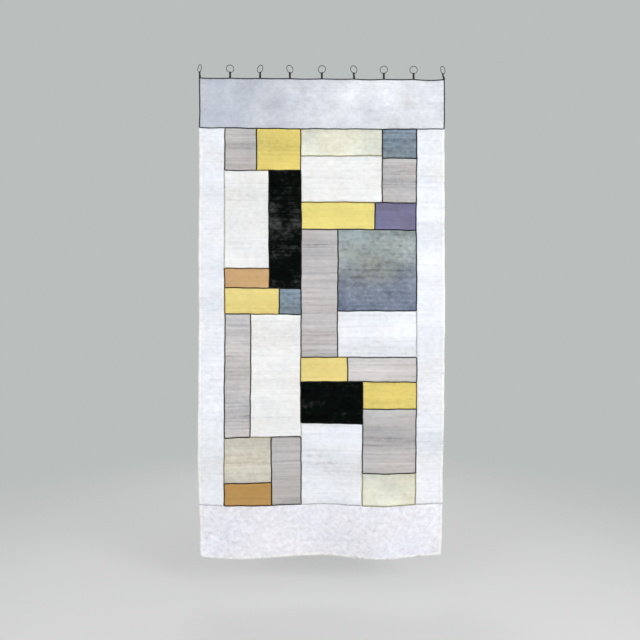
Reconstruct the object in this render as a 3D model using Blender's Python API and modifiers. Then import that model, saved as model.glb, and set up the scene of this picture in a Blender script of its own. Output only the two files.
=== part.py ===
"""A sheer patchwork hanging: four plain borders round a patchwork field, hung by ribbon tabs
on nine wire rings. Metres, +X to the right, +Y away from the viewer, +Z up. The origin is the
bearing point inside the top of the middle ring, and the top edge of the cloth is 50 mm below it.

A place on the cloth is given as flat lengths: across, from the left edge, and down, from the
top edge. cloth_point turns them into the place where the cloth hangs, with its folds."""

import math

import bmesh
import bpy
from mathutils import Vector

# The cloth as it is cut
WIDTH = 1.000
DROP = 1.950
TOP_BAND = 0.205
BOTTOM_BAND = 0.215
LEFT_BAND = 0.105
RIGHT_BAND = 0.115
SHEET_THICK = 0.0012
SEAM_GAP = 0.0003

# The dark edging along the top edge and down both ends of the top band
BINDING_WIDE = 0.0045
BINDING_THICK = 0.0020

# The rings and the ribbon tabs
WIRE_RADIUS = 0.00125
RING_RADIUS = 0.015
RING_INSIDE = RING_RADIUS - WIRE_RADIUS
RIBBON_THICK = 0.0010
RIBBON_WIDE = 0.008
RIBBON_LEG = 0.0042
RIBBON_SHOULDER = 0.0035
RIBBON_NECK = 0.0177
CLEARANCE = 0.0003

# Heights of the top edge and of the hem, below the bearing point, how far the top edge falls
# from left to right, and the height of a ring's centre above the top edge
TOP_Z = -0.050
HEM_Z = TOP_Z - DROP
TILT = 0.007
RING_CENTRE = -TOP_Z - RING_INSIDE

# Each tab: its place from the middle, the turn of its ring and how far the ring leans aside
TABS = (
    # x, turn in degrees, lean
    (-0.496, -50, -0.001),
    (-0.373, 14, 0.000),
    (-0.251, -38, 0.000),
    (-0.130, 34, 0.000),
    (0.000, -8, 0.000),
    (0.131, 26, -0.001),
    (0.252, -12, 0.000),
    (0.373, 0, 0.000),
    (0.496, 42, -0.004),
)

# How far the top edge sags between each tab and the next
SAGS = (0.0015, 0.0015, 0.0010, 0.0020, 0.0015, 0.0030, 0.0015, 0.0035)
SAG_FADE = 0.120

# The folds at the hem: share of the width from the left edge, and how far forward
HEM_FOLDS = (
    # share across, forward
    (0.000, -0.004),
    (0.140, 0.020),
    (0.500, -0.024),
    (0.745, 0.023),
    (1.000, -0.023),
)
FOLD_START = 0.75
FOLD_POWER = 1.6

# The left edge bows forward a little above the bottom band
BOW_FORWARD = 0.040
BOW_DOWN = 1.43
BOW_HALF_LENGTH = 0.45
BOW_WIDE = 0.12

ARC_STEP = 0.010
EDGE_COLUMNS = 32
SIDE_ROWS = 26
NECK_STEPS = 4
FOLD_STEPS = 4
RING_SEGMENTS = 24
WIRE_SEGMENTS = 8

INK = (0.012, 0.012, 0.014)
WHITE_RAMIE = (0.86, 0.87, 0.92)
HAZE_RAMIE = (0.58, 0.61, 0.68)
PATCH_RAMIE = (0.62, 0.60, 0.56)
DARK_STEEL = (0.16, 0.16, 0.17)


def clear_scene():
    for item in list(bpy.data.objects):
        bpy.data.objects.remove(item, do_unlink=True)


def material(name, colour, roughness, metallic=0.0):
    made = bpy.data.materials.new(name)
    made.use_nodes = True
    shader = made.node_tree.nodes["Principled BSDF"]
    shader.inputs["Base Color"].default_value = (*colour, 1.0)
    shader.inputs["Roughness"].default_value = roughness
    shader.inputs["Metallic"].default_value = metallic
    made.diffuse_color = (*colour, 1.0)
    return made


def ease(share):
    """0 to 1, flat at both ends."""
    share = min(max(share, 0.0), 1.0)
    return share * share * (3.0 - 2.0 * share)


def top_edge(across):
    """Height of the top edge without its sags: it falls a little from left to right."""
    return TOP_Z - TILT * (across / WIDTH - 0.5)


def edge_sag(across):
    """How far the top edge hangs below a straight line between its two nearest tabs."""
    x = across - WIDTH / 2
    for (start, _, _), (end, _, _), sag in zip(TABS, TABS[1:], SAGS):
        if start <= x <= end:
            share = (x - start) / (end - start)
            return sag * 4.0 * share * (1.0 - share)
    return 0.0


def hem_fold(share):
    """How far forward the hem lies at a share of the width."""
    for (start, low), (end, high) in zip(HEM_FOLDS, HEM_FOLDS[1:]):
        if share <= end:
            return low + (high - low) * ease((share - start) / (end - start))
    return HEM_FOLDS[-1][1]


def forward(across, down):
    """How far the cloth stands in front of the plane through its top edge."""
    grown = max(down - FOLD_START, 0.0) / (DROP - FOLD_START)
    folds = hem_fold(across / WIDTH) * grown**FOLD_POWER
    near = min(abs(down - BOW_DOWN) / BOW_HALF_LENGTH, 1.0)
    bow = BOW_FORWARD * math.cos(near * math.pi / 2) ** 2
    return folds + bow * math.exp(-((across / BOW_WIDE) ** 2))


def drawn_in(across, down):
    """The place across once the folds have taken up their share of the cloth's width."""
    middle = WIDTH / 2
    steps = max(1, round(abs(across - middle) / ARC_STEP))
    step = (across - middle) / steps
    reach, last = 0.0, forward(middle, down)
    for i in range(1, steps + 1):
        here = forward(middle + step * i, down)
        reach += math.sqrt(step * step - (here - last) ** 2)
        last = here
    return math.copysign(reach, across - middle)


def cloth_point(across, down):
    top = top_edge(across)
    sag = edge_sag(across) * max(1.0 - down / SAG_FADE, 0.0) ** 2
    height = top + (HEM_Z - top) * down / DROP - sag
    return Vector((drawn_in(across, down), -forward(across, down), height))


def sheet(name, columns, rows, thick, place, finish, home):
    """A closed sheet: a grid whose points place(share across, share down) sets, thickened."""
    grid = bmesh.new()
    bmesh.ops.create_grid(grid, x_segments=columns, y_segments=rows, size=0.5)
    for point in grid.verts:
        point.co = place(point.co.x + 0.5, 0.5 - point.co.y)
    mesh = bpy.data.meshes.new(name)
    grid.to_mesh(mesh)
    grid.free()
    mesh.materials.append(finish)
    made = bpy.data.objects.new(name, mesh)
    home.objects.link(made)
    solid = made.modifiers.new("thickness", "SOLIDIFY")
    solid.thickness = thick
    solid.offset = 0.0
    solid.use_even_offset = True
    return made


def panel(name, left, right, top, bottom, columns, rows, thick, finish, home):
    """A piece of the cloth between four flat lengths, drawn back from its seams."""

    def place(share_across, share_down):
        across = left + (right - left) * share_across
        down = top + (bottom - top) * share_down
        return cloth_point(across, down)

    return sheet(name, columns, rows, thick, place, finish, home)


def panels(home, white, haze, patch, ink):
    near = SEAM_GAP / 2
    field_left, field_right = LEFT_BAND, WIDTH - RIGHT_BAND
    field_top, field_bottom = TOP_BAND, DROP - BOTTOM_BAND
    inner_left, inner_right = BINDING_WIDE + near, WIDTH - BINDING_WIDE - near
    under_edging = BINDING_WIDE + near
    rows = (
        # name, left, right, top, bottom, columns, rows, thickness, finish
        ("top_band", inner_left, inner_right, under_edging, field_top - near,
         EDGE_COLUMNS, 3, SHEET_THICK, haze),
        ("left_band", 0.0, field_left - near, field_top + near, field_bottom - near,
         3, SIDE_ROWS, SHEET_THICK, white),
        ("patchwork_field", field_left + near, field_right - near, field_top + near,
         field_bottom - near, 22, SIDE_ROWS, SHEET_THICK, patch),
        ("right_band", field_right + near, WIDTH, field_top + near, field_bottom - near,
         3, SIDE_ROWS, SHEET_THICK, white),
        ("bottom_band", 0.0, WIDTH, field_bottom + near, DROP,
         28, 5, SHEET_THICK, white),
        ("binding_top", 0.0, WIDTH, 0.0, BINDING_WIDE - near,
         EDGE_COLUMNS, 1, BINDING_THICK, ink),
        ("binding_left", 0.0, BINDING_WIDE - near, under_edging, field_top - near,
         1, 3, BINDING_THICK, ink),
        ("binding_right", WIDTH - BINDING_WIDE + near, WIDTH, under_edging, field_top - near,
         1, 3, BINDING_THICK, ink),
    )
    for row in rows:
        panel(*row, home)


def ribbon_side():
    """One half of the folded ribbon as (distance from its middle plane, height above the top
    edge), from the foot of its leg to the crown of the fold."""
    half = RIBBON_THICK / 2
    leg = BINDING_THICK / 2 + CLEARANCE + half
    neck = CLEARANCE / 2 + half
    fold = WIRE_RADIUS + CLEARANCE + half
    wire = RING_CENTRE - RING_RADIUS
    rise = RING_RADIUS - math.sqrt(RING_RADIUS**2 - (RIBBON_WIDE / 2) ** 2)
    shoulder, parting = RIBBON_SHOULDER, RIBBON_NECK
    side = [(leg, -RIBBON_LEG), (leg, 2 * CLEARANCE), ((leg + neck) / 2, shoulder / 2)]
    for i in range(NECK_STEPS + 1):
        side.append((neck, shoulder + (parting - shoulder) * i / NECK_STEPS))
    side += [((neck + fold) / 2, (parting + wire) / 2), (fold, wire)]
    for i in range(FOLD_STEPS + 1):
        angle = math.pi / 2 * i / FOLD_STEPS
        side.append((fold * math.cos(angle), wire + rise + fold * math.sin(angle)))
    return side


def tab_and_ring(number, x, turn, lean, ink, steel, home):
    side = ribbon_side()
    path = [(-out, up) for out, up in side] + [(out, up) for out, up in reversed(side[:-1])]
    foot = top_edge(x + WIDTH / 2)
    angle = math.radians(turn)

    def place(share_across, share_down):
        out, up = path[round(share_down * (len(path) - 1))]
        aside = (share_across - 0.5) * RIBBON_WIDE
        twist = ease((up - RIBBON_SHOULDER) / (RIBBON_NECK - RIBBON_SHOULDER))
        turned = angle * twist
        return Vector((
            x + lean * twist + aside * math.cos(turned) - out * math.sin(turned),
            aside * math.sin(turned) + out * math.cos(turned),
            foot + up,
        ))

    sheet(f"tab_{number}", 2, len(path) - 1, RIBBON_THICK, place, ink, home)

    bpy.ops.mesh.primitive_torus_add(
        major_radius=RING_RADIUS,
        minor_radius=WIRE_RADIUS,
        major_segments=RING_SEGMENTS,
        minor_segments=WIRE_SEGMENTS,
        location=(x + lean, 0.0, foot + RING_CENTRE),
        rotation=(math.pi / 2, 0.0, angle),
    )
    ring = bpy.context.object
    ring.name = f"ring_{number}"
    ring.data.name = ring.name
    ring.data.shade_smooth()
    ring.data.materials.append(steel)
    for other in list(ring.users_collection):
        other.objects.unlink(ring)
    home.objects.link(ring)


def main():
    clear_scene()
    home = bpy.data.collections.new("patchwork_hanging")
    bpy.context.scene.collection.children.link(home)
    white = material("white_ramie", WHITE_RAMIE, 0.8)
    haze = material("haze_ramie", HAZE_RAMIE, 0.8)
    patch = material("patch_ramie", PATCH_RAMIE, 0.8)
    ink = material("ink_ribbon", INK, 0.7)
    steel = material("dark_steel", DARK_STEEL, 0.35, metallic=1.0)
    panels(home, white, haze, patch, ink)
    for number, (x, turn, lean) in enumerate(TABS, start=1):
        tab_and_ring(number, x, turn, lean, ink, steel, home)


main()
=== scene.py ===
"""A sheer patchwork hanging: pieced ramie in felled seams, plain bands with narrow hems, black
edging, and ribbon tabs on wire rings, dressed over its fixed frame. Metres, +Z up, front to -Y.

A place on the cloth is given as flat lengths: across, from the left edge, and down, from the
top edge. cloth_at turns arrays of them into the places where the cloth hangs."""

import math

import bpy
import numpy as np
from bpy.props import FloatProperty, FloatVectorProperty, PointerProperty
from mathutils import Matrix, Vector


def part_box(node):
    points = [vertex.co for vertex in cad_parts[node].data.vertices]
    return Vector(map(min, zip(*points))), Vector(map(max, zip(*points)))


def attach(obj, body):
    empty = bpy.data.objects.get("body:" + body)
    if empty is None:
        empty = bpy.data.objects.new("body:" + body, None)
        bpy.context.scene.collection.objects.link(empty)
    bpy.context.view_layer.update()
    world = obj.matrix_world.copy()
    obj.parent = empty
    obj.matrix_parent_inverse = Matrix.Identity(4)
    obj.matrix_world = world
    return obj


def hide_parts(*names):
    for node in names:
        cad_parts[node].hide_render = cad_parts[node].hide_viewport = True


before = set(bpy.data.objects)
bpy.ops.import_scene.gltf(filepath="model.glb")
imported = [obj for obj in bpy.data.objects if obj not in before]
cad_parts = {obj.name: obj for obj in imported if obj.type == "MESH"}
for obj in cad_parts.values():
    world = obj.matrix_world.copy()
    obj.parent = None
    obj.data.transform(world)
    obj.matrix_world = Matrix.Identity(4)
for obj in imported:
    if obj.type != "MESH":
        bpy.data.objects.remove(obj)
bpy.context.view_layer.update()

bl_info = {
    "name": "Pieced Ramie Hanging",
    "version": (1, 0, 0),
    "blender": (4, 5, 0),
    "location": "3D View > Sidebar > Hanging",
    "description": "Makes a sheer patchwork hanging with its seams, hems, edging, tabs and rings",
    "category": "Object",
}

# The cut cloth, from the frame where it can be read there
EDGING_LOW, EDGING_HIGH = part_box("binding_top")
WIDTH = EDGING_HIGH.x - EDGING_LOW.x
TILT = 0.007
TOP_Z = EDGING_HIGH.z - TILT / 2
HEM_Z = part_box("bottom_band")[0].z
DROP = TOP_Z - HEM_Z
TOP_BAND = 0.205
BOTTOM_BAND = 0.215
LEFT_BAND = 0.105
RIGHT_BAND = 0.115
EDGING_WIDE = 0.0045
EDGING_TUCK = 0.0015

# The hem's folds: share of the width from the left edge, and how far forward
HEM_FOLDS = (
    # share across, forward
    (0.000, -0.004),
    (0.140, 0.020),
    (0.500, -0.024),
    (0.745, 0.023),
    (1.000, -0.023),
)
FOLD_START = 0.75
FOLD_POWER = 1.6
BOW_FORWARD = 0.040
BOW_DOWN = 1.43
BOW_HALF_LENGTH = 0.45
BOW_WIDE = 0.12
ARC_STEPS = 90

# How far the top edge sags between each tab and the next
SAGS = (0.0015, 0.0015, 0.0010, 0.0020, 0.0015, 0.0030, 0.0015, 0.0035)
SAG_FADE = 0.120

# The handmade cloth is never quite true: slow waves of its seams and of its surface
WANDER = (
    # reach, waves a metre across, waves a metre down, start
    (0.0011, 1.3, 0.9, 0.4),
    (0.0006, 3.1, -2.3, 1.9),
    (0.0005, 7.7, 5.9, 3.3),
    (0.0004, 15.1, -12.7, 0.8),
)
RIPPLE = (
    (0.0011, 2.1, 1.4, 0.7),
    (0.0006, 5.3, -3.7, 2.2),
    (0.0004, 9.1, 7.3, 4.1),
)

# The piecing of the field, in millimetres. Each block has its width and its tiers; a tier has
# its height and its columns; a column has its width and its patches from the top, each with its
# height and its ramie.
PIECING = (
    (310, (
        (170, ((130, ((170, "dove"),)), (180, ((170, "straw"),)))),
        (480, ((180, ((400, "chalk"), (80, "amber"))), (130, ((480, "soot"),)))),
        (105, ((220, ((105, "gold"),)), (90, ((105, "slate"),)))),
        (500, ((105, ((500, "ash"),)), (205, ((500, "chalk"),)))),
        (275, ((190, ((185, "sand"), (90, "russet"))), (120, ((275, "dove"),)))),
    )),
    (470, (
        (300, ((330, ((110, "cream"), (190, "chalk"))), (140, ((120, "slate"), (180, "ash"))))),
        (110, ((300, ((110, "lemon"),)), (170, ((110, "plum"),)))),
        (520, ((150, ((520, "dove"),)), (320, ((330, "mist"), (190, "snow"))))),
        (100, ((190, ((100, "gold"),)), (280, ((100, "ash"),)))),
        (500, (
            (250, ((170, "soot"), (330, "snow"))),
            (220, ((110, "straw"), (260, "dove"), (130, "cream"))),
        )),
    )),
)

# How each ramie is woven: how close it covers, how strong its slubs, clouds, flecks, figured
# gauze and drift of tint are, and how much light its seams let through, painted into their colour
# as shade
WEAVES = {
    # name: cover, slub, cloud, fleck, figure, tint, seam
    "band": (0.90, 0.026, 0.022, 0.036, 0.00, 0.006, 1.02),
    "foot": (0.90, 0.008, 0.024, 0.050, 0.14, 0.006, 1.02),
    "haze": (0.80, 0.014, 0.047, 0.028, 0.04, 0.005, 0.45),
    "chalk": (0.90, 0.028, 0.026, 0.034, 0.00, 0.006, 1.00),
    "snow": (0.90, 0.036, 0.020, 0.034, 0.00, 0.006, 1.00),
    "dove": (0.86, 0.066, 0.030, 0.030, 0.00, 0.008, 0.25),
    "ash": (0.86, 0.070, 0.034, 0.036, 0.00, 0.008, 0.25),
    "slate": (0.84, 0.086, 0.042, 0.110, 0.00, 0.022, 0.30),
    "mist": (0.66, 0.038, 0.090, 0.074, 0.00, 0.024, 0.50),
    # soot: its strong clouds and flecks are partly the weave's own unevenness and partly painted
    # reflections on the black cloth
    "soot": (0.95, 0.060, 0.190, 0.090, 0.00, 0.030, 0.10),
    "cream": (0.87, 0.030, 0.070, 0.042, 0.00, 0.020, 0.90),
    "lemon": (0.90, 0.026, 0.026, 0.024, 0.00, 0.006, 0.38),
    "straw": (0.90, 0.032, 0.026, 0.032, 0.00, 0.005, 0.38),
    "gold": (0.91, 0.026, 0.026, 0.022, 0.00, 0.008, 0.35),
    "amber": (0.91, 0.036, 0.030, 0.030, 0.00, 0.010, 0.35),
    "russet": (0.92, 0.036, 0.032, 0.030, 0.00, 0.010, 0.35),
    "plum": (0.90, 0.048, 0.056, 0.034, 0.00, 0.024, 0.50),
    "sand": (0.86, 0.060, 0.030, 0.050, 0.00, 0.008, 1.00),
}

# Cloths whose colour runs into a second one along one axis of the hanging: on the haze it is
# painted shade, darker at the left and lighter at the right; the mist turns from green at its top
# to blue lower down
DYE_AND_SHADE_RUNS = {
    # name: axis, where it starts, where it ends, second dye
    # the haze: painted shade, darker at the left, running into a painted lighter haze at the
    # right
    "haze": (0, -0.48, 0.40, "haze_painted_light"),
    "mist": (2, -0.91, -0.74, "mist_pale"),
}
SEAM_THREAD = (1.00, 0.99, 0.80)
DARK = ("soot",)

SEAM_GAP = 0.0003
GRID_PITCH = 0.007
PATH_PITCH = 0.006


def display(*levels):
    """A colour as a screen shows it, 0 to 255, as linear light."""
    shares = (level / 255 for level in levels)
    return tuple(s / 12.92 if s <= 0.04045 else ((s + 0.055) / 1.055) ** 2.4 for s in shares)


def dye(name, *levels):
    return FloatVectorProperty(
        name=name,
        description=f"Colour of the {name.lower()} cloth",
        subtype="COLOR",
        min=0.0,
        max=1.0,
        default=display(*levels),
    )


def size(name, description, default):
    return FloatProperty(
        name=name, description=description, default=default, min=0.0, unit="LENGTH",
        precision=5,
    )


class HangingDyes(bpy.types.PropertyGroup):
    band: dye("Band white", 235, 237, 242)
    foot: dye("Bottom band white", 240, 239, 246)
    hem: dye("Hem white", 241, 241, 239)
    # The haze and the pale haze after it are the two ends of painted shade across the top band,
    # darker at the left and lighter at the right
    haze: dye("Haze blue", 190, 195, 206)
    haze_painted_light: dye("Pale haze", 230, 232, 237)
    chalk: dye("Chalk", 235, 235, 234)
    snow: dye("Snow", 236, 238, 243)
    dove: dye("Dove grey", 190, 186, 185)
    ash: dye("Ash grey", 196, 192, 191)
    slate: dye("Slate", 126, 141, 154)
    mist: dye("Mist blue", 110, 121, 143)
    mist_pale: dye("Mist green", 170, 179, 176)
    soot: dye("Soot black", 7, 12, 9)
    cream: dye("Cream", 219, 217, 200)
    lemon: dye("Lemon", 232, 217, 128)
    straw: dye("Straw", 229, 209, 117)
    gold: dye("Gold", 232, 213, 134)
    amber: dye("Amber", 202, 165, 117)
    russet: dye("Russet", 186, 145, 83)
    plum: dye("Plum", 110, 108, 141)
    sand: dye("Sand", 207, 202, 187)
    ribbon: dye("Ribbon black", 22, 22, 25)


class HangingSizes(bpy.types.PropertyGroup):
    cloth: size("Cloth", "Thickness of a single layer", 0.0005)
    hem_wide: size("Hem width", "Width of the folded hems", 0.012)
    hem_thick: size("Hem", "Thickness of the folded hems", 0.0011)
    seam_wide: size("Seam width", "Width of a felled seam", 0.0048)
    seam_thick: size("Seam", "Thickness of a felled seam", 0.0014)
    pucker: size("Pucker", "How far the cloth puckers beside its seams", 0.0003)
    stitch_pitch: size("Stitch pitch", "From one whip stitch to the next", 0.0031)
    stitch_long: size("Stitch", "Length of a whip stitch", 0.0024)
    thread: size("Thread", "Thickness of the sewing thread", 0.00048)
    ribbon: size("Ribbon", "Thickness of the tabs' ribbon", 0.0008)


class HangingStage(bpy.types.PropertyGroup):
    distance: size("Distance", "From the camera to the cloth", 2.40)
    floor_below: size("Floor", "From the hem down to the floor", 0.14)
    lens: FloatProperty(
        name="Lens", description="Focal length of the camera in millimetres",
        default=33.2, min=1.0,
    )
    daylight: FloatProperty(
        name="Daylight", description="Strength of the even light from all round",
        default=0.72, min=0.0,
    )
    backdrop: FloatVectorProperty(
        name="Backdrop", description="Colour behind the hanging", subtype="COLOR",
        min=0.0, max=1.0, default=display(186, 190, 189),
    )


# Shapes: the cloth as it hangs


def ease(share):
    """0 to 1, flat at both ends."""
    share = np.clip(share, 0.0, 1.0)
    return share * share * (3.0 - 2.0 * share)


def waves(rows, across, down):
    return sum(
        reach * np.sin(2 * np.pi * (wide * across + tall * down) + start)
        for reach, wide, tall, start in rows
    )


def hem_fold(share):
    """How far forward the hem lies at shares of the width."""
    places, depths = np.array(HEM_FOLDS).T
    bay = np.clip(np.searchsorted(places, share, side="right") - 1, 0, len(places) - 2)
    along = ease((share - places[bay]) / (places[bay + 1] - places[bay]))
    return depths[bay] + (depths[bay + 1] - depths[bay]) * along


def forward(across, down):
    """How far the cloth stands in front of the plane through its top edge."""
    grown = np.clip(down - FOLD_START, 0.0, None) / (DROP - FOLD_START)
    folds = hem_fold(across / WIDTH) * grown**FOLD_POWER
    near = np.clip(abs(down - BOW_DOWN) / BOW_HALF_LENGTH, 0.0, 1.0)
    bow = BOW_FORWARD * np.cos(near * np.pi / 2) ** 2
    return folds + bow * np.exp(-((across / BOW_WIDE) ** 2))


def drawn_in(across, down):
    """The place across once the folds have taken up their share of the cloth's width."""
    middle = WIDTH / 2
    share = np.linspace(0.0, 1.0, ARC_STEPS + 1).reshape((-1,) + (1,) * across.ndim)
    ahead = forward(middle + (across - middle) * share, down[None])
    step = abs(across - middle) / ARC_STEPS
    run = np.sqrt(np.clip(step**2 - np.diff(ahead, axis=0) ** 2, 0.0, None)).sum(axis=0)
    return np.copysign(run, across - middle)


def edge_sag(across):
    """How far the top edge hangs below straight lines between its tabs."""
    x = across - WIDTH / 2
    feet = np.array([foot for foot, _, _ in tab_rows()])
    bay = np.clip(np.searchsorted(feet, x, side="right") - 1, 0, len(SAGS) - 1)
    share = np.clip((x - feet[bay]) / (feet[bay + 1] - feet[bay]), 0.0, 1.0)
    return np.array(SAGS)[bay] * 4.0 * share * (1.0 - share)


def cloth_at(across, down, proud=0.0):
    """Places of points of the cloth. proud is a further distance forward."""
    across, down = np.broadcast_arrays(np.asarray(across, float), np.asarray(down, float))
    slack = ease(down / SAG_FADE)
    moved = across + slack * waves(WANDER, across, down)
    lower = down + slack * waves(WANDER, down + 0.37, across) * ease((DROP - down) / SAG_FADE)
    rise = TOP_Z - TILT * (across / WIDTH - 0.5)
    sag = edge_sag(across) * np.clip(1.0 - down / SAG_FADE, 0.0, None) ** 2
    ahead = forward(across, down) + slack * waves(RIPPLE, across, down) + proud
    return np.stack(
        (drawn_in(moved, lower), -ahead, rise + (HEM_Z - rise) * lower / DROP - sag), axis=-1
    )


def unit(vectors):
    return vectors / np.linalg.norm(vectors, axis=-1, keepdims=True)


def slab(name, points, thick, flat, offset=(0.0, 0.0)):
    """A closed sheet about a grid of points, rows down and columns across. flat holds each
    point's flat place, which goes to the UV map in metres."""
    rows, columns = points.shape[:2]
    normal = unit(np.cross(np.gradient(points, axis=0), np.gradient(points, axis=1)))
    half = normal * (np.broadcast_to(thick, (rows, columns))[..., None] / 2)
    spots = np.concatenate(((points + half).reshape(-1, 3), (points - half).reshape(-1, 3)))
    index = np.arange(rows * columns).reshape(rows, columns)
    back = index + rows * columns
    front = np.stack((index[:-1, :-1], index[1:, :-1], index[1:, 1:], index[:-1, 1:]), -1)
    faces = [front.reshape(-1, 4), (front.reshape(-1, 4) + rows * columns)[:, ::-1]]
    rims = (
        (index[:, 0], back[:, 0]),
        (index[-1, :], back[-1, :]),
        (index[::-1, -1], back[::-1, -1]),
        (index[0, ::-1], back[0, ::-1]),
    )
    for near, far in rims:
        faces.append(np.stack((near[:-1], far[:-1], far[1:], near[1:]), -1))
    mesh = bpy.data.meshes.new(name)
    faces = np.concatenate(faces)
    mesh.from_pydata(spots.tolist(), [], faces.tolist())
    layer = mesh.uv_layers.new(name="cloth")
    place = np.tile(flat.reshape(-1, 2), (2, 1)) + offset
    layer.uv.foreach_set("vector", place[faces.reshape(-1)].astype(np.float32).reshape(-1))
    mesh.shade_smooth()
    made = bpy.data.objects.new(name, mesh)
    bpy.context.scene.collection.objects.link(made)
    return made


def stations(start, end, pitch=GRID_PITCH):
    return np.linspace(start, end, max(3, round((end - start) / pitch) + 1))


def pucker(across, down, box, reach, wide=0.008, wave=0.027):
    """How far a patch stands proud along its four seams."""
    left, top, right, bottom = box
    total = 0.0
    sides = ((across - left, down), (right - across, down), (down - top, across),
             (bottom - down, across))
    for turn, (inward, along) in enumerate(sides):
        near = np.clip(inward, 0.0, None) / wide
        phase = 2 * np.pi * along / wave + 1.7 * turn + 3.0 * np.sin(along * 31.0)
        total = total + near * np.exp(1.0 - near) * np.sin(phase)
    return reach * total


# Node trees


def node(tree, kind, inputs=None, **settings):
    """A new node. inputs holds values or sockets by the input's name or number."""
    made = tree.nodes.new(kind)
    for name, value in settings.items():
        setattr(made, name, value)
    for key, value in (inputs or {}).items():
        if isinstance(value, bpy.types.NodeSocket):
            tree.links.new(value, made.inputs[key])
        else:
            made.inputs[key].default_value = value
    return made


def maths(tree, operation, *values):
    return node(tree, "ShaderNodeMath", dict(enumerate(values)), operation=operation).outputs[0]


def vectors(tree, operation, *values, scale=None):
    made = node(tree, "ShaderNodeVectorMath", dict(enumerate(values)), operation=operation)
    if scale is not None:
        if isinstance(scale, bpy.types.NodeSocket):
            tree.links.new(scale, made.inputs["Scale"])
        else:
            made.inputs["Scale"].default_value = scale
    return made.outputs[0]


def new_group(name, kind, inputs, outputs):
    """A node group with its input and output nodes. Inputs are name, socket kind, default."""
    tree = bpy.data.node_groups.new(name, kind)
    for label, socket, default in inputs:
        made = tree.interface.new_socket(label, in_out="INPUT", socket_type=socket)
        if default is not None:
            made.default_value = default
    for label, socket in outputs:
        tree.interface.new_socket(label, in_out="OUTPUT", socket_type=socket)
    return tree, tree.nodes.new("NodeGroupInput"), tree.nodes.new("NodeGroupOutput")


def grain(tree, place, across, down, detail=2.0):
    """Noise about 0, mostly within 2, with its own waves a metre across and down the cloth."""
    scaled = vectors(tree, "MULTIPLY", place, (across, down, 1.0))
    made = node(tree, "ShaderNodeTexNoise", {"Vector": scaled, "Scale": 1.0, "Detail": detail})
    return maths(tree, "MULTIPLY_ADD", made.outputs["Fac"], 14.0, -7.0)


def blend(tree, *parts, start=0.0):
    """The sum of values, each with its share."""
    total = start
    for value, share in parts:
        total = maths(tree, "MULTIPLY_ADD", value, share, total)
    return total


def weave_group():
    """Plain weave: slubs and closer rows along the weft, clouds, flecks, the curls of figured
    gauze, single threads, and a drift of its tint."""
    tree, given, result = new_group(
        "plain_weave", "ShaderNodeTree",
        (("Place", "NodeSocketVector", None), ("Slub", "NodeSocketFloat", 0.03),
         ("Cloud", "NodeSocketFloat", 0.03), ("Fleck", "NodeSocketFloat", 0.01),
         ("Figure", "NodeSocketFloat", 0.0), ("Tint", "NodeSocketFloat", 0.012),
         ("Thread", "NodeSocketFloat", 0.03)),
        (("Tone", "NodeSocketColor"), ("Cover", "NodeSocketFloat"),
         ("Height", "NodeSocketFloat")),
    )
    place, slub, cloud, fleck, figure, tint, thread = (given.outputs[i] for i in range(7))
    thick = node(tree, "ShaderNodeMapRange", {
        "Value": grain(tree, place, 3.0, 64.0, 1.0), "From Min": 1.3, "From Max": 2.0})
    rows = blend(tree, (grain(tree, place, 1.3, 130.0), 0.9),
                 (grain(tree, place, 0.9, 55.0, 1.0), 0.4),
                 (grain(tree, place, 0.7, 8.0, 1.0), 1.1), (thick.outputs[0], -2.4))
    clouds = blend(tree, (grain(tree, place, 11.0, 11.0, 3.0), 0.8),
                   (grain(tree, place, 2.3, 3.1, 1.0), 0.9))
    flecks = grain(tree, place, 48.0, 64.0)
    curls = node(tree, "ShaderNodeMapRange", {
        "Value": maths(tree, "ABSOLUTE", grain(tree, place, 37.0, 37.0, 1.0)),
        "From Min": 0.0, "From Max": 0.9, "To Min": 0.6, "To Max": -0.4})
    weft, warp = grain(tree, place, 45.0, 1400.0), grain(tree, place, 1400.0, 45.0)
    threads = blend(tree, (weft, 0.9), (warp, 0.6))
    total = blend(tree, (rows, slub), (clouds, cloud), (flecks, fleck),
                  (curls.outputs[0], figure), (threads, thread))
    drift = blend(tree, (grain(tree, place, 5.0, 6.5), tint))
    tone = node(tree, "ShaderNodeCombineColor", {
        0: blend(tree, (total, 1.0), (drift, 1.0), start=1.0),
        1: blend(tree, (total, 1.0), start=1.0),
        2: blend(tree, (total, 1.0), (drift, -1.5), start=1.0)})
    height = blend(tree, (threads, 1.0), (rows, 0.4))
    tree.links.new(tone.outputs[0], result.inputs["Tone"])
    tree.links.new(maths(tree, "MULTIPLY", total, -0.5), result.inputs["Cover"])
    tree.links.new(height, result.inputs["Height"])
    return tree


def hem_group():
    """1 on the folded hems at both sides and along the bottom, read from the flat place."""
    tree, given, result = new_group(
        "folded_hem", "ShaderNodeTree",
        (("Place", "NodeSocketVector", None), ("Hem", "NodeSocketFloat", 0.01)),
        (("Mask", "NodeSocketFloat"),),
    )
    parts = node(tree, "ShaderNodeSeparateXYZ", {0: given.outputs[0]})
    left = parts.outputs[0]
    right = maths(tree, "SUBTRACT", WIDTH, left)
    bottom = maths(tree, "ADD", DROP, parts.outputs[1])
    inward = maths(tree, "MINIMUM", maths(tree, "MINIMUM", left, right), bottom)
    within = maths(tree, "SUBTRACT", given.outputs[1], inward)
    soft = maths(tree, "MULTIPLY", within, 2000.0)
    mask = node(tree, "ShaderNodeClamp", {0: soft}).outputs[0]
    tree.links.new(mask, result.inputs["Mask"])
    return tree


def group_of(name, maker):
    return bpy.data.node_groups.get(name) or maker()


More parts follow.
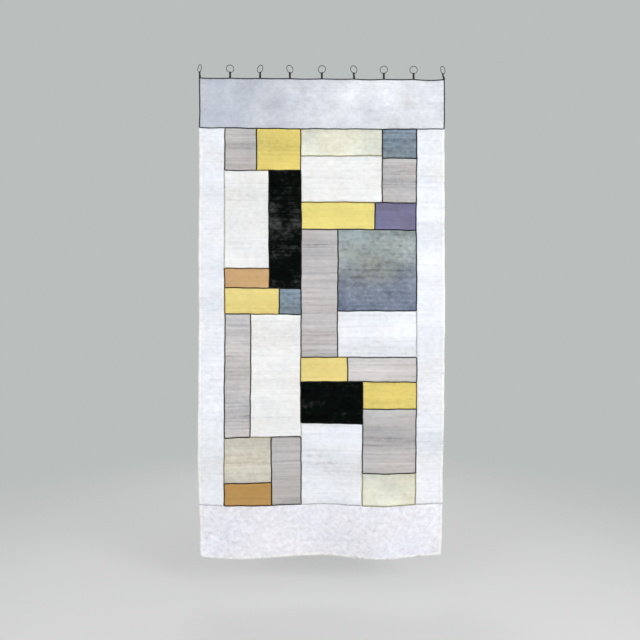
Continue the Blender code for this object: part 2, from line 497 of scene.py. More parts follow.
def new_material(name, roughness, metallic=0.0, sheen=0.0, gloss=0.5):
    made = bpy.data.materials.new(name)
    made.use_nodes = True
    tree = made.node_tree
    shader = tree.nodes["Principled BSDF"]
    shader.inputs["Roughness"].default_value = roughness
    shader.inputs["Metallic"].default_value = metallic
    shader.inputs["Specular IOR Level"].default_value = gloss
    shader.inputs["Sheen Weight"].default_value = sheen
    shader.inputs["Sheen Roughness"].default_value = 0.5
    return made, tree, shader


def blend_colours(tree, how, share, first, second):
    made = node(tree, "ShaderNodeMix", data_type="RGBA", blend_type=how)
    for key, value in ((0, share), (6, first), (7, second)):
        if isinstance(value, bpy.types.NodeSocket):
            tree.links.new(value, made.inputs[key])
        else:
            made.inputs[key].default_value = value
    return made.outputs[2]


def running_dye_and_shade(tree, colour, axis, start, end, second):
    """A colour that runs into a second one from start to end along an axis, with a soft ragged
    front; on the haze it is painted shade, darker at the left and lighter at the right."""
    place = node(tree, "ShaderNodeTexCoord").outputs["Object"]
    along = node(tree, "ShaderNodeSeparateXYZ", {0: place}).outputs[axis]
    ragged = node(tree, "ShaderNodeTexNoise", {"Vector": place, "Scale": 7.0, "Detail": 3.0})
    along = blend(tree, (ragged.outputs["Fac"], 0.8 * (end - start)), (along, 1.0),
                  start=0.4 * (start - end))
    share = node(tree, "ShaderNodeMapRange", {
        "Value": along, "From Min": start, "From Max": end}, interpolation_type="SMOOTHSTEP")
    other = (*getattr(bpy.context.scene.hanging_dyes, second), 1.0)
    return blend_colours(tree, "MIX", share.outputs[0], colour, other)


def ramie(name, hem=False):
    """Sheer ramie of one dye, in its own weave."""
    label = "ramie_" + name
    if label in bpy.data.materials:
        return bpy.data.materials[label]
    cover, slub, cloud, fleck, figure, tint, _ = WEAVES[name]
    dyes = bpy.context.scene.hanging_dyes
    dark = name in DARK
    made, tree, shader = new_material(
        label, 0.85, sheen=0.0 if dark else 0.1, gloss=0.03 if dark else 0.25)
    place = node(tree, "ShaderNodeUVMap", uv_map="cloth").outputs[0]
    weave = node(tree, "ShaderNodeGroup", {
        "Place": place, "Slub": slub, "Cloud": cloud, "Fleck": fleck, "Figure": figure,
        "Tint": tint}, node_tree=group_of("plain_weave", weave_group))
    colour, closed = (*getattr(dyes, name), 1.0), cover
    if name in DYE_AND_SHADE_RUNS:
        colour = running_dye_and_shade(tree, colour, *DYE_AND_SHADE_RUNS[name])
    if hem:
        edge = node(tree, "ShaderNodeGroup", node_tree=group_of("folded_hem", hem_group))
        tree.links.new(place, edge.inputs["Place"])
        edge.inputs["Hem"].default_value = bpy.context.scene.hanging_sizes.hem_wide
        mask = edge.outputs["Mask"]
        colour = blend_colours(tree, "MIX", mask, colour, (*dyes.hem, 1.0))
        closed = maths(tree, "ADD", cover, maths(tree, "MULTIPLY", mask, 0.07))
    tinted = blend_colours(tree, "MULTIPLY", 1.0, colour, weave.outputs["Tone"])
    tree.links.new(tinted, shader.inputs["Base Color"])
    alpha = maths(tree, "ADD", weave.outputs["Cover"], closed)
    alpha = node(tree, "ShaderNodeClamp", {0: alpha}).outputs[0]
    tree.links.new(alpha, shader.inputs["Alpha"])
    bump = node(tree, "ShaderNodeBump", {
        "Strength": 0.35, "Distance": 0.0003, "Height": weave.outputs["Height"]})
    tree.links.new(bump.outputs[0], shader.inputs["Normal"])
    return made


def sewn_material(name, thread):
    """Layers or thread whose colour is kept on the mesh, run by run; on the seams that colour
    holds their painted shade.
    """
    if name in bpy.data.materials:
        return bpy.data.materials[name]
    made, tree, shader = new_material(name, 0.8, sheen=0.1, gloss=0.2)
    own = node(tree, "ShaderNodeAttribute", attribute_name="seam_colour").outputs["Color"]
    place = node(tree, "ShaderNodeTexCoord").outputs["Object"]
    apart = node(tree, "ShaderNodeSeparateXYZ", {0: place})
    flat = node(tree, "ShaderNodeCombineXYZ", {0: apart.outputs[0], 1: apart.outputs[2]})
    weave = node(tree, "ShaderNodeGroup", {
        "Place": flat.outputs[0], "Slub": 0.03, "Cloud": 0.04, "Fleck": 0.05,
        "Thread": thread}, node_tree=group_of("plain_weave", weave_group))
    tinted = blend_colours(tree, "MULTIPLY", 1.0, own, weave.outputs["Tone"])
    tree.links.new(tinted, shader.inputs["Base Color"])
    bump = node(tree, "ShaderNodeBump", {
        "Strength": 0.6, "Distance": 0.0003, "Height": weave.outputs["Height"]})
    tree.links.new(bump.outputs[0], shader.inputs["Normal"])
    return made


def seam_material():
    return sewn_material("seam_layers", 0.10)


def thread_material():
    return sewn_material("sewing_thread", 0.14)


def ribbon_material():
    """Black ribbon with close ribs across it."""
    made, tree, shader = new_material("black_ribbon", 0.55, sheen=0.05, gloss=0.35)
    place = node(tree, "ShaderNodeTexCoord").outputs["Object"]
    ribs = node(tree, "ShaderNodeTexWave", {
        "Vector": place, "Scale": 260.0, "Distortion": 1.2, "Detail": 2.0,
        "Detail Scale": 3.0}, wave_type="BANDS", bands_direction="Z")
    worn = node(tree, "ShaderNodeTexNoise", {"Vector": place, "Scale": 300.0, "Detail": 3.0})
    tone = blend(tree, (worn.outputs["Fac"], 0.9), (ribs.outputs["Fac"], 0.8), start=0.15)
    colour = (*bpy.context.scene.hanging_dyes.ribbon, 1.0)
    tinted = blend_colours(tree, "MULTIPLY", 1.0, colour, tone)
    tree.links.new(tinted, shader.inputs["Base Color"])
    bump = node(tree, "ShaderNodeBump", {
        "Strength": 0.8, "Distance": 0.0004, "Height": ribs.outputs["Fac"]})
    tree.links.new(bump.outputs[0], shader.inputs["Normal"])
    return made


def wire_material():
    """Dark nickel wire, drawn and a little scuffed."""
    made, tree, shader = new_material("dark_nickel", 0.3, metallic=1.0)
    place = node(tree, "ShaderNodeTexCoord").outputs["Object"]
    scuff = node(tree, "ShaderNodeTexNoise", {"Vector": place, "Scale": 260.0, "Detail": 4.0})
    rough = maths(tree, "MULTIPLY_ADD", scuff.outputs["Fac"], 0.3, 0.16)
    tree.links.new(rough, shader.inputs["Roughness"])
    tone = maths(tree, "MULTIPLY_ADD", scuff.outputs["Fac"], 0.5, 0.75)
    tinted = blend_colours(tree, "MULTIPLY", 1.0, (*display(50, 50, 53), 1.0), tone)
    tree.links.new(tinted, shader.inputs["Base Color"])
    bump = node(tree, "ShaderNodeBump", {
        "Strength": 0.15, "Distance": 0.0002, "Height": scuff.outputs["Fac"]})
    tree.links.new(bump.outputs[0], shader.inputs["Normal"])
    return made


# Geometry Nodes trees


def curve_on_cloth(tree, given):
    """The given lines as curves whose normals stand out of the cloth's face."""
    curve = node(tree, "GeometryNodeMeshToCurve", {0: given.outputs["Geometry"]})
    out = node(tree, "GeometryNodeInputNamedAttribute", {"Name": "outward"},
               data_type="FLOAT_VECTOR")
    return node(tree, "GeometryNodeSetCurveNormal", {
        "Curve": curve.outputs[0], "Normal": out.outputs[0]}, mode="FREE")


def strip_tree():
    """A flat sewn strip along lines: a rounded section swept along each."""
    tree, given, result = new_group(
        "sewn_strip", "GeometryNodeTree",
        (("Geometry", "NodeSocketGeometry", None), ("Width", "NodeSocketFloat", 0.0045),
         ("Thickness", "NodeSocketFloat", 0.0014), ("Rounding", "NodeSocketFloat", 0.0005),
         ("Unevenness", "NodeSocketFloat", 0.1), ("Material", "NodeSocketMaterial", None)),
        (("Geometry", "NodeSocketGeometry"),),
    )
    curve = curve_on_cloth(tree, given)
    section = node(tree, "GeometryNodeCurvePrimitiveQuadrilateral", {
        "Width": given.outputs["Thickness"], "Height": given.outputs["Width"]})
    rounded = node(tree, "GeometryNodeFilletCurve", {
        "Curve": section.outputs[0], "Radius": given.outputs["Rounding"],
        "Limit Radius": True, "Count": 2}, mode="POLY")
    noise = node(tree, "ShaderNodeTexNoise", {"Scale": 60.0, "Detail": 1.0})
    swell = maths(tree, "SUBTRACT", noise.outputs["Fac"], 0.5)
    swell = maths(tree, "MULTIPLY_ADD", swell, given.outputs["Unevenness"], 1.0)
    swept = node(tree, "GeometryNodeCurveToMesh", {
        "Curve": curve.outputs[0], "Profile Curve": rounded.outputs[0], "Scale": swell,
        "Fill Caps": True})
    smooth = node(tree, "GeometryNodeSetShadeSmooth", {"Geometry": swept.outputs[0]})
    finish_tree(tree, smooth.outputs[0], given, result)
    return tree


def finish_tree(tree, geometry, given, result):
    real = node(tree, "GeometryNodeRealizeInstances", {"Geometry": geometry})
    done = node(tree, "GeometryNodeSetMaterial", {
        "Geometry": real.outputs[0], "Material": given.outputs["Material"]})
    tree.links.new(done.outputs[0], result.inputs["Geometry"])


def stitch_tree():
    """Slanted stitches along lines, a row on each face of the cloth."""
    tree, given, result = new_group(
        "hand_stitches", "GeometryNodeTree",
        (("Geometry", "NodeSocketGeometry", None), ("Pitch", "NodeSocketFloat", 0.003),
         ("Length", "NodeSocketFloat", 0.002), ("Thread", "NodeSocketFloat", 0.0004),
         ("Aside", "NodeSocketFloat", 0.0018), ("Proud", "NodeSocketFloat", 0.0006),
         ("Slant", "NodeSocketFloat", 0.9), ("Scatter", "NodeSocketFloat", 0.2),
         ("Seed", "NodeSocketInt", 3), ("Material", "NodeSocketMaterial", None)),
        (("Geometry", "NodeSocketGeometry"),),
    )
    curve = curve_on_cloth(tree, given)
    bead = node(tree, "GeometryNodeMeshUVSphere", {"Segments": 4, "Rings": 2, "Radius": 0.5})
    shape = node(tree, "ShaderNodeCombineXYZ", {
        0: given.outputs["Length"], 1: given.outputs["Thread"], 2: given.outputs["Thread"]})
    stitch = node(tree, "GeometryNodeTransform", {
        "Geometry": bead.outputs[0], "Scale": shape.outputs[0]})
    rows = node(tree, "GeometryNodeJoinGeometry")
    for face in (1.0, -1.0):
        points = node(tree, "GeometryNodeCurveToPoints", {
            "Curve": curve.outputs[0], "Length": given.outputs["Pitch"]}, mode="LENGTH")
        normal = vectors(tree, "SCALE", points.outputs["Normal"], scale=face)
        sideways = vectors(tree, "CROSS_PRODUCT", normal, points.outputs["Tangent"])
        shift = vectors(
            tree, "ADD", vectors(tree, "SCALE", normal, scale=given.outputs["Proud"]),
            vectors(tree, "SCALE", sideways, scale=given.outputs["Aside"]))
        moved = node(tree, "GeometryNodeSetPosition", {
            "Geometry": points.outputs[0], "Offset": shift})
        facing = node(tree, "FunctionNodeAxesToRotation", {
            "Primary Axis": normal, "Secondary Axis": points.outputs["Tangent"]},
            primary_axis="Z", secondary_axis="X")
        loose = node(tree, "FunctionNodeRandomValue", {"Seed": given.outputs["Seed"]},
                     data_type="FLOAT")
        angle = maths(tree, "SUBTRACT", loose.outputs[1], 0.5)
        angle = maths(tree, "MULTIPLY_ADD", angle, given.outputs["Scatter"],
                      given.outputs["Slant"])
        slant = node(tree, "FunctionNodeAxisAngleToRotation", {
            "Axis": (0.0, 0.0, 1.0), "Angle": angle})
        turned = node(tree, "FunctionNodeRotateRotation", {
            "Rotation": facing.outputs[0], "Rotate By": slant.outputs[0]},
            rotation_space="LOCAL")
        placed = node(tree, "GeometryNodeInstanceOnPoints", {
            "Points": moved.outputs[0], "Instance": stitch.outputs[0],
            "Rotation": turned.outputs[0]})
        tree.links.new(placed.outputs[0], rows.inputs[0])
    smooth = node(tree, "GeometryNodeSetShadeSmooth", {"Geometry": rows.outputs[0]})
    finish_tree(tree, smooth.outputs[0], given, result)
    return tree


def ring_tree():
    """A wire ring at each given point, turned about the upright."""
    tree, given, result = new_group(
        "wire_rings", "GeometryNodeTree",
        (("Geometry", "NodeSocketGeometry", None), ("Radius", "NodeSocketFloat", 0.015),
         ("Wire", "NodeSocketFloat", 0.00125), ("Material", "NodeSocketMaterial", None)),
        (("Geometry", "NodeSocketGeometry"),),
    )
    line = node(tree, "GeometryNodeCurvePrimitiveCircle", {
        "Resolution": 72, "Radius": given.outputs["Radius"]}, mode="RADIUS")
    section = node(tree, "GeometryNodeCurvePrimitiveCircle", {
        "Resolution": 16, "Radius": given.outputs["Wire"]}, mode="RADIUS")
    wire = node(tree, "GeometryNodeCurveToMesh", {
        "Curve": line.outputs[0], "Profile Curve": section.outputs[0]})
    upright = node(tree, "GeometryNodeTransform", {
        "Geometry": wire.outputs[0], "Rotation": (math.pi / 2, 0.0, 0.0)})
    turn = node(tree, "GeometryNodeInputNamedAttribute", {"Name": "turn"}, data_type="FLOAT")
    about = node(tree, "FunctionNodeAxisAngleToRotation", {
        "Axis": (0.0, 0.0, 1.0), "Angle": turn.outputs[0]})
    placed = node(tree, "GeometryNodeInstanceOnPoints", {
        "Points": given.outputs["Geometry"], "Instance": upright.outputs[0],
        "Rotation": about.outputs[0]})
    smooth = node(tree, "GeometryNodeSetShadeSmooth", {"Geometry": placed.outputs[0]})
    finish_tree(tree, smooth.outputs[0], given, result)
    return tree


def grow(made, tree, **values):
    """Runs a tree on an object and keeps the result as its plain mesh."""
    modifier = made.modifiers.new(tree.name, "NODES")
    modifier.node_group = tree
    for item in tree.interface.items_tree:
        if item.in_out == "INPUT" and item.name in values:
            modifier[item.identifier] = values[item.name]
    made.update_tag()
    depsgraph = bpy.context.evaluated_depsgraph_get()
    mesh = bpy.data.meshes.new_from_object(made.evaluated_get(depsgraph))
    if not len(mesh.polygons):
        raise RuntimeError(f"{made.name} came out empty")
    made.modifiers.remove(modifier)
    mesh.materials.clear()
    mesh.materials.append(values["Material"])
    mesh.polygons.foreach_set("material_index", [0] * len(mesh.polygons))
    mesh.name = made.name
    made.data = mesh
    return made


def lines_on_cloth(name, runs):
    """An object of loose lines on the cloth. Each run has its ends as flat places and its
    colour; its points keep which way is outward."""
    spots, edges, outward, colours = [], [], [], []
    for (left, top), (right, bottom), colour in runs:
        count = max(2, round(math.hypot(right - left, bottom - top) / PATH_PITCH) + 1)
        across, down = np.linspace(left, right, count), np.linspace(top, bottom, count)
        spots.append(cloth_at(across, down))
        step = 0.002
        slope = cloth_at(across + step, down) - cloth_at(across - step, down)
        fall = cloth_at(across, down + step) - cloth_at(across, down - step)
        outward.append(unit(np.cross(fall, slope)))
        colours.append(np.tile((*colour, 1.0), (count, 1)))
        start = sum(len(s) for s in spots[:-1])
        edges += [(start + i, start + i + 1) for i in range(count - 1)]
    mesh = bpy.data.meshes.new(name)
    mesh.from_pydata(np.concatenate(spots).tolist(), edges, [])
    for label, kind, key, rows in (
        ("outward", "FLOAT_VECTOR", "vector", outward),
        ("seam_colour", "FLOAT_COLOR", "color", colours),
    ):
        layer = mesh.attributes.new(label, kind, "POINT")
        layer.data.foreach_set(key, np.concatenate(rows).astype(np.float32).reshape(-1))
    made = bpy.data.objects.new(name, mesh)
    bpy.context.scene.collection.objects.link(made)
    return made


def settle(piece, slot, *nodes):
    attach(piece, "root")
    if nodes:
        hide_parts(*nodes)
    return piece


# The pieces of the cloth


def bands():
    """Each band: its node, its box in flat lengths, its ramie, and its record slot."""
    field_bottom = DROP - BOTTOM_BAND
    edged = EDGING_WIDE - EDGING_TUCK
    return (
        ("top_band", (edged, edged, WIDTH - edged, TOP_BAND), "haze", "haze_ramie"),
        ("left_band", (0.0, TOP_BAND, LEFT_BAND, field_bottom), "band", "white_ramie"),
        ("right_band", (WIDTH - RIGHT_BAND, TOP_BAND, WIDTH, field_bottom), "band",
         "white_ramie"),
        ("bottom_band", (0.0, field_bottom, WIDTH, DROP), "foot", "white_ramie"),
    )


def patches():
    """Each patch of the field: its box in flat lengths and its ramie."""
    found = []
    left = LEFT_BAND
    for block_wide, tiers in PIECING:
        top = TOP_BAND
        unit_high = (DROP - BOTTOM_BAND - TOP_BAND) / sum(high for high, _ in tiers)
        for tier_high, columns in tiers:
            start = left
            for column_wide, stack in columns:
                head = top
                for high, name in stack:
                    box = (start, head, start + column_wide / 1000, head + high * unit_high)
                    found.append((box, name))
                    head = box[3]
                start += column_wide / 1000
            top += tier_high * unit_high
        left += block_wide / 1000
    return found


def with_hem(places, start, end, wide):
    """Stations with a close pair where a folded hem ends."""
    fold = 0.0003
    if start:
        places = np.append(places[places > wide + fold], (places[0], wide, wide + fold))
    if end:
        last = places.max() - wide
        places = np.append(places[places < last - fold], (places.max(), last - fold, last))
    return np.sort(places)


def cloth_piece(name, box, dye_name, order, hems=(False, False, False)):
    """A patch or band of single cloth between its seams, with folded hems at the left, right
    and bottom where hems says so."""
    sizes = bpy.context.scene.hanging_sizes
    left, top, right, bottom = box
    near = SEAM_GAP / 2
    across = stations(left + near * (left > 0), right - near * (right < WIDTH))
    down = stations(top + near, bottom - near * (bottom < DROP))
    across = with_hem(across, hems[0], hems[1], sizes.hem_wide)
    down = with_hem(down, False, hems[2], sizes.hem_wide)
    across, down = np.meshgrid(across, down)
    folded = np.zeros(across.shape, bool)
    if hems[0]:
        folded |= across <= sizes.hem_wide + 1e-6
    if hems[1]:
        folded |= across >= WIDTH - sizes.hem_wide - 1e-6
    if hems[2]:
        folded |= down >= DROP - sizes.hem_wide - 1e-6
    proud = pucker(across, down, box, sizes.pucker)
    points = cloth_at(across, down, proud)
    thick = np.where(folded, sizes.hem_thick, sizes.cloth)
    flat = np.stack((across, -down), axis=-1)
    offset = (0.37 * order, -0.61 * order) if not any(hems) else (0.0, 0.0)
    made = slab(name, points, thick, flat, offset)
    made.data.materials.append(ramie(dye_name, hem=any(hems)))
    return made


def seam_runs():
    """Every seam between two pieces of cloth, as its two flat ends and its colour."""
    boxes = [(box, name) for _, box, name, _ in bands()] + patches()
    close = 1e-5
    runs = []
    for first, first_dye in boxes:
        for second, second_dye in boxes:
            colour = seam_colour(first_dye, second_dye)
            if abs(first[2] - second[0]) < close:
                top, bottom = max(first[1], second[1]), min(first[3], second[3])
                if bottom - top > close:
                    runs.append(((first[2], top), (first[2], bottom), colour))
            if abs(first[3] - second[1]) < close:
                left, right = max(first[0], second[0]), min(first[2], second[2])
                if right - left > close:
                    runs.append(((left, first[3]), (right, first[3]), colour))
    return runs


def parted_runs(runs, half, hem):
    """Stops each seam at the side of the seam it runs into, so that none lies over another,
    and parts off the ends that are folded into the hems."""
    def spot(point):
        return tuple(round(place * 1e4) for place in point)

    met = {}
    for start, end, _ in runs:
        upright = start[0] == end[0]
        for point in (start, end):
            met[spot(point), upright] = met.get((spot(point), upright), 0) + 1
    plain, folded = [], []
    for start, end, colour in runs:
        upright = start[0] == end[0]
        ends = []
        for point, inward in ((start, 1), (end, -1)):
            crossed = met.get((spot(point), not upright), 0) == 2
            through = met[spot(point), upright] == 2
            at_hem = point[0] in (0.0, WIDTH)
            back = hem if at_hem else half * (crossed and not (through and upright))
            step = (0.0, back * inward) if upright else (back * inward, 0.0)
            moved = (point[0] + step[0], point[1] + step[1])
            ends.append(moved)
            if at_hem:
                folded.append((point, moved, colour))
        plain.append((*ends, colour))
    return plain, folded


def lit(runs, share):
    """The same runs, with their colours made lighter or darker."""
    return [(start, end, tuple(share * level for level in colour))
            for start, end, colour in runs]


def seam_colour(first, second):
    """Painted shade: two layers of each cloth as they look against the light behind them, with
    the thread that joins them.
    """
    dyes = bpy.context.scene.hanging_dyes
    # light: the share of light both cloths let through, painted into the seam's colour as shade
    light = WEAVES[first][-1] * WEAVES[second][-1]
    layers = zip(getattr(dyes, first), getattr(dyes, second), SEAM_THREAD)
    return tuple(max(light * (a * b) ** 2.1 * thread, 0.002) for a, b, thread in layers)


def edging_runs():
    """The black edging: along the top edge, and down both ends of the top band."""
    dark = bpy.context.scene.hanging_dyes.ribbon
    half = EDGING_WIDE / 2
    return {
        "edging_top": ((0.0, half), (WIDTH, half), dark),
        "edging_left": ((half, EDGING_WIDE), (half, TOP_BAND), dark),
        "edging_right": ((WIDTH - half, EDGING_WIDE), (WIDTH - half, TOP_BAND), dark),
    }


def tab_rows():
    """Each tab's foot across, and its ring's centre across and turn, read from the frame."""
    if not tab_rows.kept:
        for number in range(1, 10):
            foot = np.array([v.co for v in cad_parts[f"tab_{number}"].data.vertices])
            foot = foot[foot[:, 2] < foot[:, 2].min() + 0.001]
            ring = np.array([v.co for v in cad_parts[f"ring_{number}"].data.vertices])
            low, high = ring.min(axis=0), ring.max(axis=0)
            spread = np.cov(ring[:, 0], ring[:, 1])
            turn = 0.5 * math.atan2(2 * spread[0, 1], spread[0, 0] - spread[1, 1])
            tab_rows.kept.append((float(foot[:, 0].mean()), (low + high) / 2, turn))
    return tab_rows.kept


tab_rows.kept = []


class HANGING_OT_bands(bpy.types.Operator):
    """Makes the four plain bands, with their folded hems"""

    bl_idname = "hanging.bands"
    bl_label = "Bands"

    def execute(self, context):
        hems = {
            "left_band": (True, False, False),
            "right_band": (False, True, False),
            "bottom_band": (True, True, True),
        }
        for order, (name, box, dye_name, slot) in enumerate(bands()):
            made = cloth_piece(f"cloth_{name}", box, dye_name, order,
                               hems.get(name, (False, False, False)))
            settle(made, slot, name)
        return {"FINISHED"}


class HANGING_OT_patches(bpy.types.Operator):
    """Makes the patches of the field"""

    bl_idname = "hanging.patches"
    bl_label = "Patches"

    def execute(self, context):
        for order, (box, dye_name) in enumerate(patches(), start=1):
            made = cloth_piece(f"patch_{order:02d}_{dye_name}", box, dye_name, order)
            settle(made, "patch_ramie", "patchwork_field")
        return {"FINISHED"}


class HANGING_OT_seams(bpy.types.Operator):
    """Makes the felled seams and their whip stitches"""

    bl_idname = "hanging.seams"
    bl_label = "Seams"

    def execute(self, context):
        sizes = context.scene.hanging_sizes
        runs, folded = parted_runs(seam_runs(), sizes.seam_wide / 2 - 0.0003, sizes.hem_wide)
        for name, lines, thick in (
            ("felled_seams", runs, sizes.seam_thick),
            ("seam_ends", folded, sizes.hem_thick + 0.0006),
        ):
            seams = grow(
                lines_on_cloth(name, lines), group_of("sewn_strip", strip_tree),
                Width=sizes.seam_wide, Thickness=thick, Rounding=0.0005, Unevenness=0.25,
                Material=seam_material(),
            )
            settle(seams, "patch_ramie")
        # The whip stitches take the seams' painted shade, made twice as light
        stitches = grow(
            lines_on_cloth("whip_stitches", lit(runs, 2.0)),
            group_of("hand_stitches", stitch_tree),
            Pitch=sizes.stitch_pitch, Length=sizes.stitch_long, Thread=sizes.thread,
            Aside=sizes.seam_wide * 0.36, Proud=sizes.seam_thick / 2 + 0.00004, Slant=0.95,
            Scatter=0.3, Material=thread_material(),
        )
        settle(stitches, "patch_ramie")
        return {"FINISHED"}


class HANGING_OT_hem_stitches(bpy.types.Operator):
    """Sews the hems down with small running stitches"""

    bl_idname = "hanging.hem_stitches"
    bl_label = "Hem stitches"

    def execute(self, context):
        sizes = context.scene.hanging_sizes
        inward = sizes.hem_wide - 0.0008
        pale = tuple(0.8 * level for level in context.scene.hanging_dyes.hem)
        runs = (
            ((inward, TOP_BAND), (inward, DROP - inward), pale),
            ((WIDTH - inward, TOP_BAND), (WIDTH - inward, DROP - inward), pale),
            ((inward, DROP - inward), (WIDTH - inward, DROP - inward), pale),
        )
        made = grow(
            lines_on_cloth("hem_stitches", runs), group_of("hand_stitches", stitch_tree),
            Pitch=0.0052, Length=0.0026, Thread=sizes.thread, Aside=0.0,
            Proud=sizes.hem_thick / 2 + 0.00006, Slant=0.12, Scatter=0.15,
            Material=thread_material(),
        )
        settle(made, "white_ramie")
        return {"FINISHED"}


class HANGING_OT_edging(bpy.types.Operator):
    """Makes the black edging of the top band, with its overcast stitches"""

    bl_idname = "hanging.edging"
    bl_label = "Edging"

    def execute(self, context):
        sizes = context.scene.hanging_sizes
        runs = edging_runs()
        black = ribbon_material()
        nodes = {"edging_top": "binding_top", "edging_left": "binding_left",
                 "edging_right": "binding_right"}
        for name, run in runs.items():
            made = grow(
                lines_on_cloth(name, [run]), group_of("sewn_strip", strip_tree),
                Width=EDGING_WIDE, Thickness=0.0019, Rounding=0.0008, Unevenness=0.08,
                Material=black,
            )
            settle(made, "ink_ribbon", nodes[name])
        stitches = grow(
            lines_on_cloth("edging_stitches", lit(runs.values(), 4.0)),
            group_of("hand_stitches", stitch_tree),
            Pitch=0.0034, Length=0.0030, Thread=sizes.thread, Aside=0.0012, Proud=0.00098,
            Slant=1.2, Scatter=0.25, Material=thread_material(),
        )
        settle(stitches, "ink_ribbon")
        return {"FINISHED"}


class HANGING_OT_tabs(bpy.types.Operator):
    """Makes the ribbon tabs, each folded through its ring and sewn astride the edging"""

    bl_idname = "hanging.tabs"
    bl_label = "Tabs"

    leg: FloatProperty(name="Leg", description="Length sewn over the edging",
                       default=0.0042, unit="LENGTH")
    wide: FloatProperty(name="Width", description="Width of the ribbon",
                        default=0.008, unit="LENGTH")

    def side(self, half, low, wire):
        """One half of the ribbon as distance from its middle and height above the edge."""
        shoulder, parting = 0.0035, 0.0177
        leg, neck, fold = 0.0013 + half, 0.00065, 0.00155 + half
        path = [(leg, -self.leg), (leg, -self.leg / 2), (leg, 0.0006)]
        for share in np.linspace(0.25, 1.0, 4):
            height = 0.0006 + (shoulder - 0.0006) * share
            path.append((leg + (neck - leg) * ease(share), height))
        for share in np.linspace(0.1, 1.0, 10):
            path.append((neck, shoulder + (parting - shoulder) * share))
        for share in np.linspace(0.2, 1.0, 5):
            path.append((neck + (fold - neck) * ease(share), parting + (wire - parting) * share))
        for share in np.linspace(0.0, 1.0, 9):
            angle = math.pi / 2 * share
            path.append((fold * math.cos(angle), low + fold * math.sin(angle)))
        return np.array(path), shoulder, parting

    def execute(self, context):
        thin = context.scene.hanging_sizes.ribbon
        black = bpy.data.materials.get("black_ribbon") or ribbon_material()
        for number, (foot, ring, turn) in enumerate(tab_rows(), start=1):
            edge = TOP_Z - TILT * foot / WIDTH
            wire = float(ring[2]) - RING_RADIUS - edge
            rise = RING_RADIUS - math.sqrt(RING_RADIUS**2 - (self.wide / 2) ** 2)
            side, shoulder, parting = self.side(thin / 2, wire + rise, wire)
            path = np.concatenate((side * (-1, 1), side[-2::-1]))
            aside = np.linspace(-0.5, 0.5, 7)[None, :] * self.wide
            out, up = path[:, :1], path[:, 1:]
            twist = ease((up - shoulder) / (parting - shoulder))
            angle = turn * twist
            lean = (float(ring[0]) - foot) * twist
            points = np.stack((
                foot + lean + aside * np.cos(angle) - out * np.sin(angle),
                aside * np.sin(angle) + out * np.cos(angle),
                edge + up + 0.0 * aside,
            ), axis=-1)
            length = np.cumsum(np.hypot(*np.diff(path, axis=0, prepend=path[:1]).T))
            flat = np.stack(np.broadcast_arrays(aside, -length[:, None]), axis=-1)
            made = slab(f"ribbon_tab_{number}", points, thin, flat)
            made.data.materials.append(black)
            settle(made, "ink_ribbon", f"tab_{number}")
        self.stitches(context, thin)
        return {"FINISHED"}

    def stitches(self, context, thin):
        """Sews both legs of each tab down its sides and along its end."""
        grey = tuple(3.5 * level for level in context.scene.hanging_dyes.ribbon)
        inset, end = 0.0007, self.leg - 0.0008
        runs = []
        for foot, _, _ in tab_rows():
            left = foot + WIDTH / 2 - self.wide / 2 + inset
            right = foot + WIDTH / 2 + self.wide / 2 - inset
            runs += [((left, 0.0006), (left, end), grey), ((left, end), (right, end), grey),
                     ((right, end), (right, 0.0006), grey)]
        made = grow(
            lines_on_cloth("tab_stitches", runs), group_of("hand_stitches", stitch_tree),
            Pitch=0.0013, Length=0.0011, Thread=0.00034, Aside=0.0, Proud=0.0013 + thin,
            Slant=0.9, Scatter=0.2, Material=thread_material(),
        )
        settle(made, "ink_ribbon")


RING_LOW, RING_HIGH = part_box("ring_8")
RING_WIRE = (RING_HIGH.y - RING_LOW.y) / 2
RING_RADIUS = (RING_HIGH.z - RING_LOW.z) / 2 - RING_WIRE


class HANGING_OT_rings(bpy.types.Operator):
    """Makes the nine wire rings"""

    bl_idname = "hanging.rings"
    bl_label = "Rings"

    def execute(self, context):
        rows = tab_rows()
        mesh = bpy.data.meshes.new("wire_rings")
        mesh.from_pydata([tuple(centre) for _, centre, _ in rows], [], [])
        turns = mesh.attributes.new("turn", "FLOAT", "POINT")
        turns.data.foreach_set("value", [turn for _, _, turn in rows])
        made = bpy.data.objects.new("wire_rings", mesh)
        context.scene.collection.objects.link(made)
        grow(made, group_of("wire_rings", ring_tree), Radius=RING_RADIUS, Wire=RING_WIRE,
             Material=wire_material())
        settle(made, "dark_steel", *(f"ring_{n}" for n in range(1, 10)))
        return {"FINISHED"}


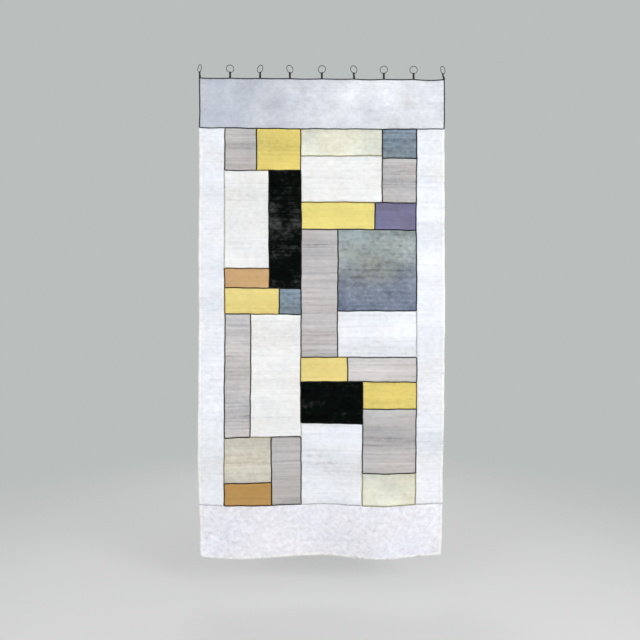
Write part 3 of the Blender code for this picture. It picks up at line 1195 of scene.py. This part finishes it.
class HANGING_OT_stage(bpy.types.Operator):
    """Sets the floor, the light and the camera"""

    bl_idname = "hanging.stage"
    bl_label = "Stage"

    def execute(self, context):
        stage = context.scene.hanging_stage
        self.floor(context, stage)
        self.world(context, stage)
        middle = (TOP_Z + HEM_Z) / 2
        lamps = (
            # name, place, size, strength
            ("key", (2.3, -2.3, middle + 0.6), 1.8, 48.0),
            ("fill", (-2.4, -2.4, middle + 0.2), 2.0, 31.0),
            ("rim", (-0.8, 2.8, middle + 1.2), 2.2, 20.0),
        )
        for name, place, wide, strength in lamps:
            light = bpy.data.lights.new(name, "AREA")
            light.shape = "DISK"
            light.size = wide
            light.energy = strength
            lamp = bpy.data.objects.new(name, light)
            lamp.location = place
            aim = Vector((0.0, 0.0, middle)) - lamp.location
            lamp.rotation_euler = aim.to_track_quat("-Z", "Y").to_euler()
            context.scene.collection.objects.link(lamp)
        camera = bpy.data.objects.new("camera", bpy.data.cameras.new("camera"))
        camera.data.lens = stage.lens
        camera.data.sensor_width = 36.0
        camera.location = (-0.0075, -stage.distance, -1.033)
        camera.rotation_euler = (math.pi / 2, 0.0, 0.0)
        context.scene.collection.objects.link(camera)
        context.scene.camera = camera
        context.scene.view_settings.view_transform = "Standard"
        return {"FINISHED"}

    def floor(self, context, stage):
        """A pale disc that fades out well away from the hanging."""
        reach, segments = 6.0, 96
        ring = np.linspace(0.0, 2 * np.pi, segments, endpoint=False)
        spots = [(reach * math.cos(a), reach * math.sin(a), HEM_Z - stage.floor_below)
                 for a in ring]
        mesh = bpy.data.meshes.new("floor")
        mesh.from_pydata(spots, [], [tuple(range(segments))])
        made, tree, shader = new_material("pale_floor", 1.0, gloss=0.0)
        shader.inputs["Base Color"].default_value = (0.66, 0.66, 0.65, 1.0)
        place = node(tree, "ShaderNodeTexCoord").outputs["Object"]
        flat = vectors(tree, "MULTIPLY", place, (1.0, 1.0, 0.0))
        away = node(tree, "ShaderNodeVectorMath", {0: flat}, operation="LENGTH").outputs["Value"]
        fade = node(tree, "ShaderNodeMapRange", {
            "Value": away, "From Min": 0.9, "From Max": 2.9, "To Min": 1.0, "To Max": 0.0},
            interpolation_type="SMOOTHSTEP")
        tree.links.new(fade.outputs[0], shader.inputs["Alpha"])
        mesh.materials.append(made)
        floor = bpy.data.objects.new("floor", mesh)
        context.scene.collection.objects.link(floor)

    def world(self, context, stage):
        """Even daylight, behind which the camera sees a plain backdrop."""
        world = bpy.data.worlds.new("studio")
        context.scene.world = world
        world.use_nodes = True
        tree = world.node_tree
        tree.nodes.clear()
        light = node(tree, "ShaderNodeBackground", {
            "Color": (0.97, 0.985, 1.0, 1.0), "Strength": stage.daylight})
        seen = node(tree, "ShaderNodeBackground", {
            "Color": (*stage.backdrop, 1.0), "Strength": 1.0})
        path = node(tree, "ShaderNodeLightPath")
        mixed = node(tree, "ShaderNodeMixShader", {
            0: path.outputs["Is Camera Ray"], 1: light.outputs[0], 2: seen.outputs[0]})
        node(tree, "ShaderNodeOutputWorld", {0: mixed.outputs[0]})


class HANGING_PT_panel(bpy.types.Panel):
    """Lists the steps that make the hanging"""

    bl_label = "Pieced Ramie Hanging"
    bl_idname = "HANGING_PT_panel"
    bl_space_type = "VIEW_3D"
    bl_region_type = "UI"
    bl_category = "Hanging"

    def draw(self, context):
        for group in ("hanging_dyes", "hanging_sizes", "hanging_stage"):
            box = self.layout.box()
            held = getattr(context.scene, group)
            for name in held.bl_rna.properties.keys():
                if name not in ("rna_type", "name"):
                    box.prop(held, name)
        for step in STEPS:
            self.layout.operator(step)


STEPS = ("hanging.bands", "hanging.patches", "hanging.seams", "hanging.hem_stitches",
         "hanging.edging", "hanging.tabs", "hanging.rings", "hanging.stage")

GROUPS = {"hanging_dyes": HangingDyes, "hanging_sizes": HangingSizes,
          "hanging_stage": HangingStage}

CLASSES = (*GROUPS.values(), HANGING_OT_bands, HANGING_OT_patches, HANGING_OT_seams,
           HANGING_OT_hem_stitches, HANGING_OT_edging, HANGING_OT_tabs, HANGING_OT_rings,
           HANGING_OT_stage, HANGING_PT_panel)


def register():
    for made in CLASSES:
        bpy.utils.register_class(made)
    for name, group in GROUPS.items():
        setattr(bpy.types.Scene, name, PointerProperty(type=group))


def unregister():
    for name in GROUPS:
        delattr(bpy.types.Scene, name)
    for made in reversed(CLASSES):
        bpy.utils.unregister_class(made)


def main():
    register()
    for step in STEPS:
        category, name = step.split(".")
        getattr(getattr(bpy.ops, category), name)()


if __name__ == "__main__":
    main()
